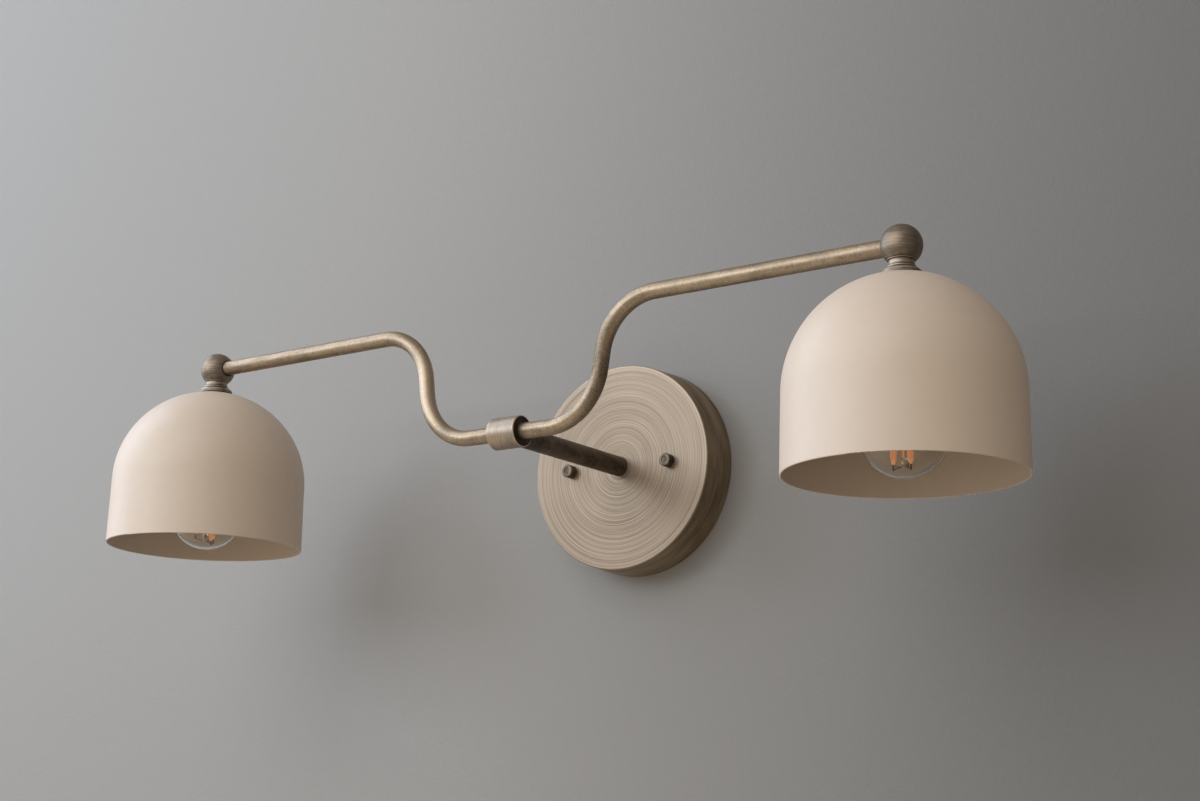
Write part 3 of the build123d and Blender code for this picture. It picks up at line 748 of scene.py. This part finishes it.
def turned_canopy(finish):
    """The canopy as one turned shell; the rings of its face wander a little, as on hand-turned brass."""
    points = canopy_outline()
    shape = spun_outline([(radius, height) for radius, height, _ in points], CANOPY_TURN_STEPS)
    groove_at = {round(radius / MM, 3): groove for radius, height, groove in points if height > CANOPY_FACE}
    groove_layer = shape.verts.layers.float.new("groove")
    for corner in shape.verts:
        if corner.co.z <= CANOPY_FACE:
            continue
        out = corner.co.xy.length
        corner[groove_layer] = groove_at.get(round(out / MM, 3), 0.0)
        if WANDER_FROM_R < out < WANDER_TO_R:
            turn = corner.co.xy.angle_signed(Vector((1, 0)))
            swing = sum(reach * sin(waves * turn + out * shift) for reach, waves, shift in RING_WANDER)
            corner.co.xy *= 1 + swing * MM / out
    bmesh.ops.transform(shape, matrix=OUT_OF_WALL, verts=shape.verts)
    finished_piece(shape, "canopy_turned", "wall_unit", "aged_brass", finish, "canopy")


def bent_tube(radius):
    """One wall of the right arm: a ring carried along the straight runs and round the two bends.

    Each corner keeps its place on the straight tube. Gives the shape and the edges of both its ends.
    """
    shape = bmesh.new()
    place = shape.verts.layers.float_vector.new("straight_place")
    turn = pi / 2 - ARM_LEAN
    leg = (ARM_RISE - 2 * ARM_BEND_R * (1 - cos(turn))) / sin(turn)
    to_ring = Matrix.Translation((ARM_START, 0, 0)) @ Matrix.Rotation(pi / 2, 4, "Y")
    ring = bmesh.ops.create_circle(shape, segments=ARM_SIDES, radius=radius, matrix=to_ring)["verts"]
    for corner in ring:
        corner[place] = (corner.co.y / radius, corner.co.z / radius, ARM_START)
    first = list(shape.edges)
    sides = first
    along = ARM_START

    def reached(fresh, step):
        nonlocal along
        along += step
        for corner in fresh:
            corner[place].z = along

    def run(length, direction, pieces):
        nonlocal sides
        for _ in range(pieces):
            made = bmesh.ops.extrude_edge_only(shape, edges=sides)["geom"]
            fresh = corners_of(made)
            sides = [side for side in edges_of(made) if all(corner in fresh for corner in side.verts)]
            bmesh.ops.translate(shape, verts=fresh, vec=Vector(direction) * (length / pieces))
            reached(fresh, length / pieces)

    def bend(centre, angle):
        nonlocal sides
        step = angle / ARM_BEND_STEPS
        for _ in range(ARM_BEND_STEPS):
            corners = list(dict.fromkeys(corner for side in sides for corner in side.verts))
            made = bmesh.ops.spin(
                shape, geom=corners + sides, cent=centre, axis=(0, -1, 0), angle=step, steps=1
            )["geom_last"]
            sides = edges_of(made)
            reached(corners_of(made), ARM_BEND_R * abs(angle) / ARM_BEND_STEPS)

    run(ARM_BEND_START - ARM_START, (1, 0, 0), 2)
    bend((ARM_BEND_START, 0, ARM_BEND_R), turn)
    leaning = Vector((cos(turn), 0, sin(turn)))
    run(leg, leaning, 1)
    lower_end = Vector((ARM_BEND_START + ARM_BEND_R * sin(turn), 0, ARM_BEND_R * (1 - cos(turn))))
    upper_start = lower_end + leaning * leg
    bend(upper_start + Vector((sin(turn), 0, -cos(turn))) * ARM_BEND_R, -turn)
    upper_end_x = upper_start.x + ARM_BEND_R * sin(turn)
    run(ARM_END - upper_end_x, (1, 0, 0), 6)
    return shape, first, sides


def bent_arm(side_name, finish):
    """The arm as a tube: the rims of its outer wall are drawn in to meet the bore."""
    shape, first, last = bent_tube(ARM_R)
    bore_share = (ARM_R - ARM_WALL) / ARM_R
    for rim in (first, last):
        fresh = corners_of(bmesh.ops.extrude_edge_only(shape, edges=rim)["geom"])
        middle = sum((corner.co for corner in fresh), Vector()) / len(fresh)
        bmesh.ops.scale(shape, vec=(bore_share,) * 3, verts=fresh, space=Matrix.Translation(-middle))
    bore_mesh = bpy.data.meshes.new("bore")
    bore, _, _ = bent_tube(ARM_R - ARM_WALL)
    bore.to_mesh(bore_mesh)
    bore.free()
    shape.from_mesh(bore_mesh)
    bpy.data.meshes.remove(bore_mesh)
    bmesh.ops.scale(shape, vec=(SIDES[side_name], 1, 1), verts=shape.verts)
    bmesh.ops.translate(shape, vec=(0, -REACH, 0), verts=shape.verts)
    node = f"arm_{side_name}"
    finished_piece(shape, f"{node}_bent_tube", "wall_unit", "aged_brass", finish, node)


# ---------------------------------------------------------------- where the brass is pale or dark: wear, patina, painted highlight and painted shade


def turned_lines(lines):
    """Lines round a ball joint's foot, by height, width and strength."""

    def mask(place):
        return sum(
            abs(place.along - height * MM).between(width * MM, 0.0) * strength
            for height, width, strength in lines
        )

    return mask


# Heights from the ball's centre and widths, in millimetres, and strengths.
# Pale bands on the bead, neck, ring and bell are wear and painted highlights. Dark lines in the corners are
# patina and painted shade, as under the ball's overhang and where the foot meets the shade.
BALL_WEAR_AND_HIGHLIGHT_LINES = ((-8.2, 0.3, 0.5), (-10.0, 1.3, 0.25), (-12.25, 0.4, 0.4), (-14.2, 1.0, 0.5))
BALL_PATINA_AND_SHADE_LINES = (
    (-7.85, 0.14, 0.5), (-8.6, 0.26, 0.7), (-11.4, 0.26, 0.7), (-12.95, 0.2, 0.8), (-16.9, 0.45, 0.8),
)


def hub_rim_highlights(place):
    """The two chamfered rims of the hub, painted pale as highlights."""
    corner = place.out + abs(place.along)
    return corner.between(HUB_R + HUB_END - 0.75 * MM, HUB_R + HUB_END - 0.45 * MM) * 0.9


def hub_end_patina_and_shade(place):
    """The hub's end faces, dark round the arms: patina and painted shade."""
    end = abs(place.along).between(HUB_END - 0.08 * MM, HUB_END - 0.02 * MM)
    return end * place.out.between(9.0 * MM, 8.8 * MM) * 0.9


def cap_nut_rim_highlights(place):
    """The rim round the dished front of each cap nut, painted pale as a highlight."""
    front = place.along.between(CAP_NUT_FRONT - 0.5 * MM, CAP_NUT_FRONT)
    return place.out.between(1.9 * MM, 2.5 * MM) * front * 0.12


def steep_leg(strength):
    """The steep middle of an arm, by the way along its tube."""

    def mask(place):
        return place.along.between(50 * MM, 78 * MM) * place.along.between(116 * MM, 90 * MM) * strength

    return mask


# The steep middle of the left arm is painted pale as a highlight, and that of the right arm is painted dark as
# shade.
ARM_LEG_PAINTED_LIGHT = {"left": {"wear_and_highlight": steep_leg(0.3)}, "right": {"patina_and_shade": steep_leg(0.38)}}


# ---------------------------------------------------------------- the object, node by node


def dress(node, material):
    """Gives a CAD node its finish."""
    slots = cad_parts[node].data.materials
    slots.clear()
    slots.append(material)


for side_name, side in SIDES.items():
    ball_brass = aged_brass(
        f"ball_brass_{side_name}",
        turned_about((side * HEAD_X, -REACH, HEAD_Z), "Z"),
        patina=0.36,
        wear_and_highlight=turned_lines(BALL_WEAR_AND_HIGHLIGHT_LINES),
        patina_and_shade=turned_lines(BALL_PATINA_AND_SHADE_LINES),
    )
    dress(f"ball_joint_{side_name}", ball_brass)
    for part, outline in BALL_TRIM.items():
        trim = at_head(ball_trim(outline), side)
        finished_piece(trim, f"ball_joint_{side_name}_{part}", f"head_{side_name}", "aged_brass", ball_brass)

hub_place = turned_about((0, -REACH, 0), "X")
post_place = turned_about((0, 0, 0), "Y")
cap_nut_place = turned_about((STUD_X, 0, 0), "Y", mirrored=True)
dress("hub", aged_brass("hub_brass", hub_place, patina=0.0, wear_and_highlight=hub_rim_highlights, patina_and_shade=hub_end_patina_and_shade))
dress("post", aged_brass("post_brass", post_place, patina=0.62))
dress("cap_nuts", aged_brass("cap_nut_brass", cap_nut_place, patina=0.72, wear_and_highlight=cap_nut_rim_highlights))

turned_canopy(canopy_brass())
for side_name, leg in ARM_LEG_PAINTED_LIGHT.items():
    arm_brass = aged_brass(
        f"arm_brass_{side_name}", TubePlace, patina=0.0, lay=0.45, mottle=0.30, warmth=0.2, **leg
    )
    bent_arm(side_name, arm_brass)

cream = shade_paint()
zinc = zinc_plate()
ceramic = porcelain()
glass = clear_glass()
amber = amber_phosphor()
black = two_toned(
    "black_glass", BLACK_GLASS, 500.0, UPPER_HALF, roughness=0.12, dulling=0.12, relief=0.05 * MM, metallic=0.0
)
solder = two_toned(
    "solder", SOLDER, 700.0, MOST, roughness=0.28, dulling=0.2, relief=0.12 * MM, metallic=1.0
)
wire = two_toned(
    "lead_wire", LEAD_WIRE, 1600.0, MOST, roughness=0.3, dulling=0.2, relief=0.02 * MM, metallic=1.0
)
HEAD_FINISHES = {
    "shade": cream,
    "swivel_washer": zinc,
    "swivel_nut": zinc,
    "shade_washer": zinc,
    "shade_nut": zinc,
    "socket_body": ceramic,
    "bulb_glass": glass,
    "bulb_stem": glass,
    "bulb_insulator": black,
    "bulb_contact": solder,
}

for node in ("mounting_plate", "stud_lock_nuts", "post_washer", "post_lock_nut"):
    dress(node, zinc)
dress("ground_screw", green_enamel())
for side_name, side in SIDES.items():
    ball_centre = (side * HEAD_X, -REACH, HEAD_Z)
    for node, material in HEAD_FINISHES.items():
        dress(f"{node}_{side_name}", material)
    brass = spun_metal(f"bright_brass_{side_name}", *BRIGHT_BRASS, ball_centre)
    for node in ("socket_terminals", "screw_shell", "contact_tongue"):
        dress(f"{node}_{side_name}", brass)
    dress(f"socket_cap_{side_name}", spun_metal(f"plated_cap_{side_name}", *PLATED_CAP, ball_centre))
    cap_metal = spun_metal(f"bulb_cap_metal_{side_name}", *BULB_CAP, ball_centre)
    cap = at_head(threaded(BULB_THREAD, BULB_CAP_ENDS), side)
    nipple = at_head(threaded(NIPPLE_THREAD, SHADE_NIPPLE_ENDS), side)
    for shape, part, stands_for, body, slot, finish in (
        (cap, "thread", "bulb_cap", "bulb", "bulb_cap_metal", cap_metal),
        (filament_bars(side), "bars", "bulb_filaments", "bulb", "amber_filament", amber),
        (lead_wires(side), "wires", "bulb_leads", "bulb", "lead_wire", wire),
        (nipple, "thread", "shade_nipple", "head", "zinc_plated_steel", zinc),
    ):
        node = f"{stands_for}_{side_name}"
        finished_piece(shape, f"{node}_{part}", f"{body}_{side_name}", slot, finish, node)

nipple = threaded(NIPPLE_THREAD, POST_NIPPLE_ENDS)
bmesh.ops.transform(nipple, matrix=OUT_OF_WALL, verts=nipple.verts)
finished_piece(nipple, "post_nipple_thread", "wall_unit", "zinc_plated_steel", zinc, "post_nipple")
studs = threaded(STUD_THREAD, STUD_ENDS)
bmesh.ops.transform(studs, matrix=Matrix.Translation((STUD_X, 0, 0)) @ OUT_OF_WALL, verts=studs.verts)
other = bmesh.ops.duplicate(studs, geom=studs.verts[:] + studs.edges[:] + studs.faces[:])["geom"]
bmesh.ops.translate(studs, vec=(-2 * STUD_X, 0, 0), verts=corners_of(other))
finished_piece(studs, "canopy_studs_thread", "wall_unit", "zinc_plated_steel", zinc, "canopy_studs")


# ---------------------------------------------------------------- studio

# The wall stands just behind the canopy's back, and is open behind it as over a wall box.
STAGE_X = -0.2
WALL_Y = 0.0006
WALL_SIZE = (5.0, 3.0)
WALL_OPENING_R = 62.0 * MM
# The wall is painted darker to the right, a painted fall-off of light, between these two places, to this
# share.
WALL_PAINTED_FALLOFF = (-0.3, 0.6, 0.44)
WALL_SHADOW = (0.0, 0.003, 0.010)
FLOOR_Z = -0.85
FLOOR_SIZE = (5.0, 5.0)


def stage_paint(name, colour, roughness, painted_falloff=None, opening_r=0.0):
    """Plain stage paint that shows from its front and lets the view through from behind; it can carry a
    painted fall-off of light.
    """
    finish = Finish(name, Specular_IOR_Level=0.2)
    place = finish.object_place()
    across, _, up = finish.parts(place)
    texture = finish.noise(place, 420.0, detail=3.0)
    paint = finish.mix(texture, [0.98 * part for part in colour], [1.02 * part for part in colour])
    if painted_falloff:
        start, end, share = painted_falloff
        # Painted shade: the paint darkens towards the right.
        paint = finish.mix(across.between(start, end, 0.0, 1.0 - share), paint, WALL_SHADOW)
    finish.paint(Base_Color=paint, Roughness=roughness, Normal=finish.bump(texture, 0.22 * MM))
    back = finish.node("ShaderNodeNewGeometry", output="Backfacing")
    if opening_r:
        back = back + (across * across + up * up).between(1.02 * opening_r**2, 0.98 * opening_r**2)
    finish.see_through(back)
    return finish.material


def stage_plane(name, centre, turn, size, material):
    """A wall or floor of the studio, which isn't part of the object."""
    shape = bmesh.new()
    bmesh.ops.create_grid(shape, x_segments=1, y_segments=1, size=0.5)
    bmesh.ops.scale(shape, vec=(*size, 1), verts=shape.verts)
    bmesh.ops.transform(shape, matrix=Matrix.Translation(centre) @ turn, verts=shape.verts)
    mesh = bpy.data.meshes.new(name)
    shape.to_mesh(mesh)
    shape.free()
    mesh.materials.append(material)
    plane = bpy.data.objects.new(name, mesh)
    bpy.context.scene.collection.objects.link(plane)
    plane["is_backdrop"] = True


stage_plane(
    "studio_wall",
    (STAGE_X, WALL_Y, FLOOR_Z + WALL_SIZE[1] / 2),
    OUT_OF_WALL,
    WALL_SIZE,
    stage_paint("wall_paint", (0.317, 0.308, 0.303), 0.6, painted_falloff=WALL_PAINTED_FALLOFF, opening_r=WALL_OPENING_R),
)
stage_plane(
    "studio_floor",
    (STAGE_X, WALL_Y - FLOOR_SIZE[1] / 2, FLOOR_Z),
    Matrix.Identity(4),
    FLOOR_SIZE,
    stage_paint("floor_paint", (0.70, 0.62, 0.50), 0.5),
)

SCONCE_MIDDLE = Vector((0.0, -0.1, 0.0))
# Name, place, width and height, power in watts, and colour.
SOFTBOXES = (
    ("window_side", (-2.20, -0.74, 1.10), (1.30, 2.4), 38.5, (0.70, 0.82, 1.0)),
    ("room_left", (-1.24, -1.94, 0.60), (0.8, 0.8), 14.2, (0.80, 0.90, 1.0)),
    ("room_high", (-0.07, -2.12, 1.10), (1.7, 1.9), 20.0, (0.94, 0.975, 1.0)),
)

for name, place, size, power, colour in SOFTBOXES:
    data = bpy.data.lights.new(name, "AREA")
    data.shape = "RECTANGLE"
    data.size, data.size_y = size
    data.energy = power
    data.color = colour
    light = bpy.data.objects.new(name, data)
    light.visible_camera = False
    light.location = place
    light.rotation_euler = (SCONCE_MIDDLE - Vector(place)).to_track_quat("-Z", "Y").to_euler()
    bpy.context.scene.collection.objects.link(light)

WINDOW_DIRECTION = (-0.80, -0.42, 0.42)
ROOM_GREY = (0.395, 0.350, 0.290)
ROOM_PALE = (0.52, 0.470, 0.395)


def studio_world():
    """A soft room: paler on the side of the window and greyer on the other."""
    world = bpy.data.worlds.new("studio")
    world.use_nodes = True
    room = Shader(world.node_tree)
    direction = room.node("ShaderNodeTexCoord", output="Generated")
    to_window = room.vector("DOT_PRODUCT", direction, WINDOW_DIRECTION, output="Value")
    colour = room.mix(to_window.between(-0.75, 0.85), ROOM_GREY, ROOM_PALE)
    world.node_tree.links.new(colour.socket, world.node_tree.nodes["Background"].inputs["Color"])
    bpy.context.scene.world = world


# -- The camera solved from the photograph's edges: metres, radians, and the lens on a sensor 36 mm wide --
CAMERA_PLACE = (0.62242, -0.91114, -0.21845)
CAMERA_PAN = 0.59377
CAMERA_TILT = 0.21803
CAMERA_ROLL = 0.01809
CAMERA_SENSOR = 36.0
CAMERA_LENS = 51.397
CAMERA_SHIFT = (-0.04376, 0.02885)


def photo_camera():
    data = bpy.data.cameras.new("photo_camera")
    data.sensor_width = CAMERA_SENSOR
    data.lens = CAMERA_LENS
    data.shift_x, data.shift_y = CAMERA_SHIFT
    data.clip_start = 0.01
    camera = bpy.data.objects.new("photo_camera", data)
    pan = Matrix.Rotation(CAMERA_PAN, 4, "Z")
    tilt = Matrix.Rotation(pi / 2 + CAMERA_TILT, 4, "X")
    roll = Matrix.Rotation(CAMERA_ROLL, 4, "Z")
    camera.matrix_world = Matrix.Translation(CAMERA_PLACE) @ pan @ tilt @ roll
    bpy.context.scene.collection.objects.link(camera)
    bpy.context.scene.camera = camera


studio_world()
photo_camera()
bpy.context.scene.view_settings.view_transform = "Standard"

VISUAL_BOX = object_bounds()
for box in (CAD_BOX, VISUAL_BOX):
    json.dumps([list(corner) for corner in box]) + "\n"
